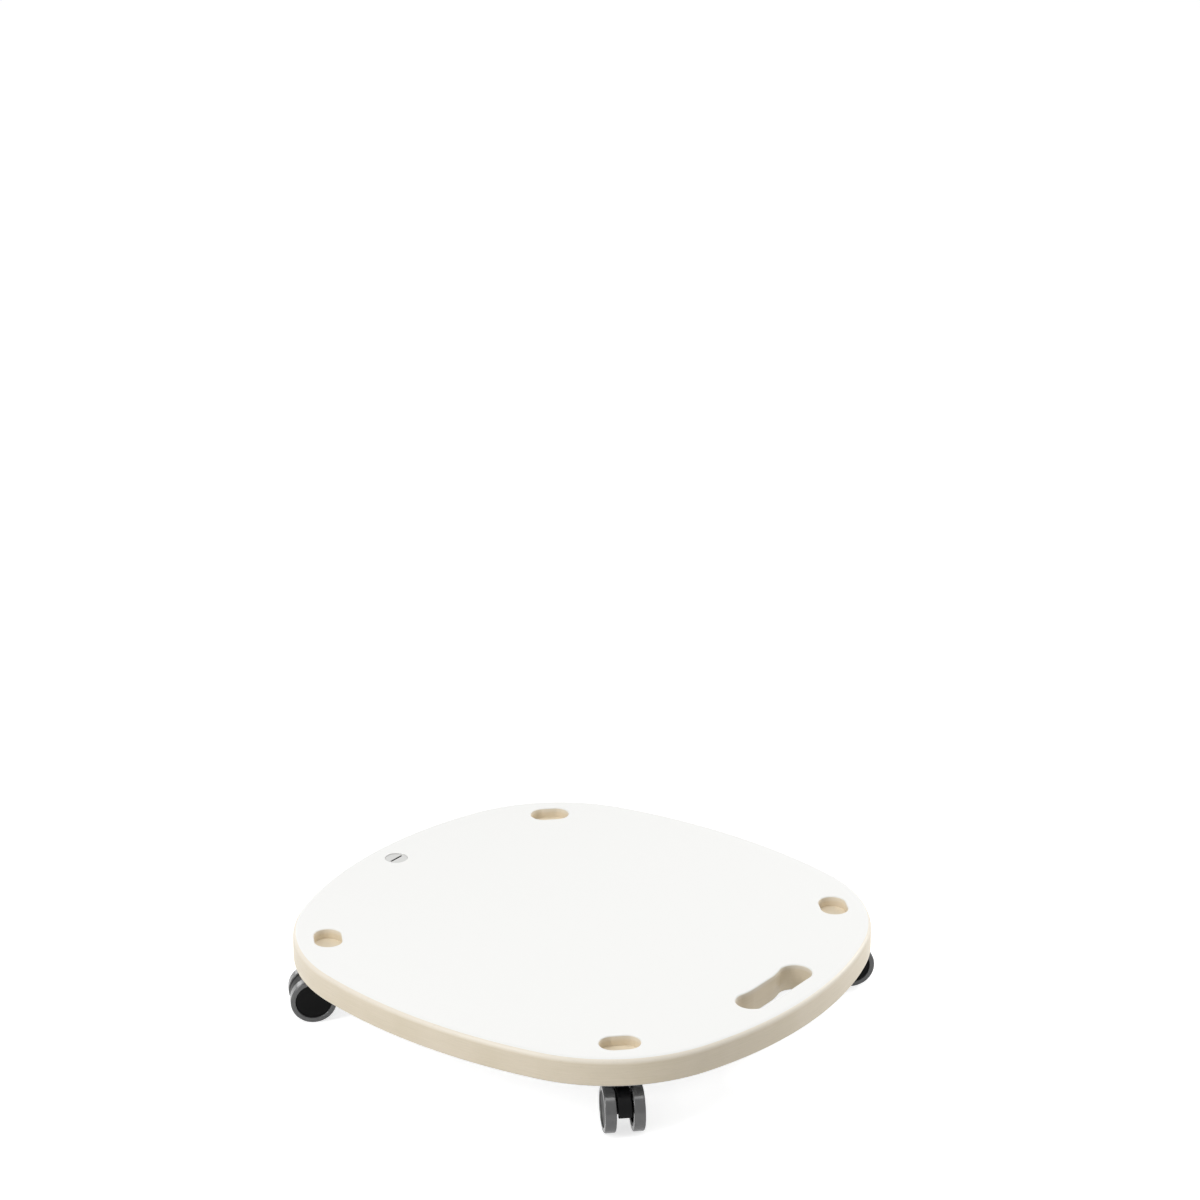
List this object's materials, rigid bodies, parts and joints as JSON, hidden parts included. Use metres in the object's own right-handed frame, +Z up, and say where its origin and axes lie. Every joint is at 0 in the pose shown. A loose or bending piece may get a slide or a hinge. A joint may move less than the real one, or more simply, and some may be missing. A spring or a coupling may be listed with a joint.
{
  "type": "stool trolley",
  "caption": "Low trolley for a stack of stools: a bowed, laminated wooden board with leg sockets and a hand slot, carried on swivelling twin-wheel castors.",
  "frame": {"origin": "on the floor, under the middle of the board", "axes": "+X across the board, +Y along it from the hand slot to the slotted plug, +Z up"},
  "size_m": [0.5598, 0.592, 0.0906],
  "materials": {
    "laminate": "satin",
    "birch": "satin varnish",
    "zinc_plug": "satin",
    "steel": "zinc plated",
    "castor_black": "moulded",
    "tyre_grey": "moulded"
  },
  "bodies": {
    "board": {"board_core": "birch", "top_laminate": "laminate", "bottom_laminate": "laminate", "slotted_plug": "zinc_plug", "threaded_insert": "steel", "castor_screws": "steel", "front_left_plate": "steel", "front_left_kingpin": "steel", "front_left_snap_ring": "steel", "front_right_plate": "steel", "front_right_kingpin": "steel", "front_right_snap_ring": "steel", "rear_left_plate": "steel", "rear_left_kingpin": "steel", "rear_left_snap_ring": "steel", "rear_right_plate": "steel", "rear_right_kingpin": "steel", "rear_right_snap_ring": "steel"},
    "front_left_castor": {"front_left_castor_body": "castor_black", "front_left_axle": "steel"},
    "front_left_wheel_1": {"front_left_wheel_1_core": "castor_black", "front_left_wheel_1_tyre": "tyre_grey"},
    "front_left_wheel_2": {"front_left_wheel_2_core": "castor_black", "front_left_wheel_2_tyre": "tyre_grey"},
    "front_right_castor": {"front_right_castor_body": "castor_black", "front_right_axle": "steel"},
    "front_right_wheel_1": {"front_right_wheel_1_core": "castor_black", "front_right_wheel_1_tyre": "tyre_grey"},
    "front_right_wheel_2": {"front_right_wheel_2_core": "castor_black", "front_right_wheel_2_tyre": "tyre_grey"},
    "rear_left_castor": {"rear_left_castor_body": "castor_black", "rear_left_axle": "steel"},
    "rear_left_wheel_1": {"rear_left_wheel_1_core": "castor_black", "rear_left_wheel_1_tyre": "tyre_grey"},
    "rear_left_wheel_2": {"rear_left_wheel_2_core": "castor_black", "rear_left_wheel_2_tyre": "tyre_grey"},
    "rear_right_castor": {"rear_right_castor_body": "castor_black", "rear_right_axle": "steel"},
    "rear_right_wheel_1": {"rear_right_wheel_1_core": "castor_black", "rear_right_wheel_1_tyre": "tyre_grey"},
    "rear_right_wheel_2": {"rear_right_wheel_2_core": "castor_black", "rear_right_wheel_2_tyre": "tyre_grey"}
  },
  "joints": [
    {"name": "front_left_swivel", "type": "hinge", "parent": "board", "child": "front_left_castor", "pos_m": [-0.194, -0.194, 0], "axis": [0, 0, 1], "continuous": true},
    {"name": "front_left_wheel_1_roll", "type": "hinge", "parent": "front_left_castor", "child": "front_left_wheel_1", "pos_m": [-0.2085, -0.2085, 0.025], "axis": [0.7071, -0.7071, 0], "continuous": true},
    {"name": "front_left_wheel_2_roll", "type": "hinge", "parent": "front_left_castor", "child": "front_left_wheel_2", "pos_m": [-0.2085, -0.2085, 0.025], "axis": [0.7071, -0.7071, 0], "continuous": true},
    {"name": "front_right_swivel", "type": "hinge", "parent": "board", "child": "front_right_castor", "pos_m": [0.194, -0.194, 0], "axis": [0, 0, 1], "continuous": true},
    {"name": "front_right_wheel_1_roll", "type": "hinge", "parent": "front_right_castor", "child": "front_right_wheel_1", "pos_m": [0.2085, -0.2085, 0.025], "axis": [0.7071, 0.7071, 0], "continuous": true},
    {"name": "front_right_wheel_2_roll", "type": "hinge", "parent": "front_right_castor", "child": "front_right_wheel_2", "pos_m": [0.2085, -0.2085, 0.025], "axis": [0.7071, 0.7071, 0], "continuous": true},
    {"name": "rear_left_swivel", "type": "hinge", "parent": "board", "child": "rear_left_castor", "pos_m": [-0.194, 0.194, 0], "axis": [0, 0, 1], "continuous": true},
    {"name": "rear_left_wheel_1_roll", "type": "hinge", "parent": "rear_left_castor", "child": "rear_left_wheel_1", "pos_m": [-0.2085, 0.2085, 0.025], "axis": [-0.7071, -0.7071, 0], "continuous": true},
    {"name": "rear_left_wheel_2_roll", "type": "hinge", "parent": "rear_left_castor", "child": "rear_left_wheel_2", "pos_m": [-0.2085, 0.2085, 0.025], "axis": [-0.7071, -0.7071, 0], "continuous": true},
    {"name": "rear_right_swivel", "type": "hinge", "parent": "board", "child": "rear_right_castor", "pos_m": [0.194, 0.194, 0], "axis": [0, 0, 1], "continuous": true},
    {"name": "rear_right_wheel_1_roll", "type": "hinge", "parent": "rear_right_castor", "child": "rear_right_wheel_1", "pos_m": [0.2085, 0.2085, 0.025], "axis": [-0.7071, 0.7071, 0], "continuous": true},
    {"name": "rear_right_wheel_2_roll", "type": "hinge", "parent": "rear_right_castor", "child": "rear_right_wheel_2", "pos_m": [0.2085, 0.2085, 0.025], "axis": [-0.7071, 0.7071, 0], "continuous": true}
  ]
}
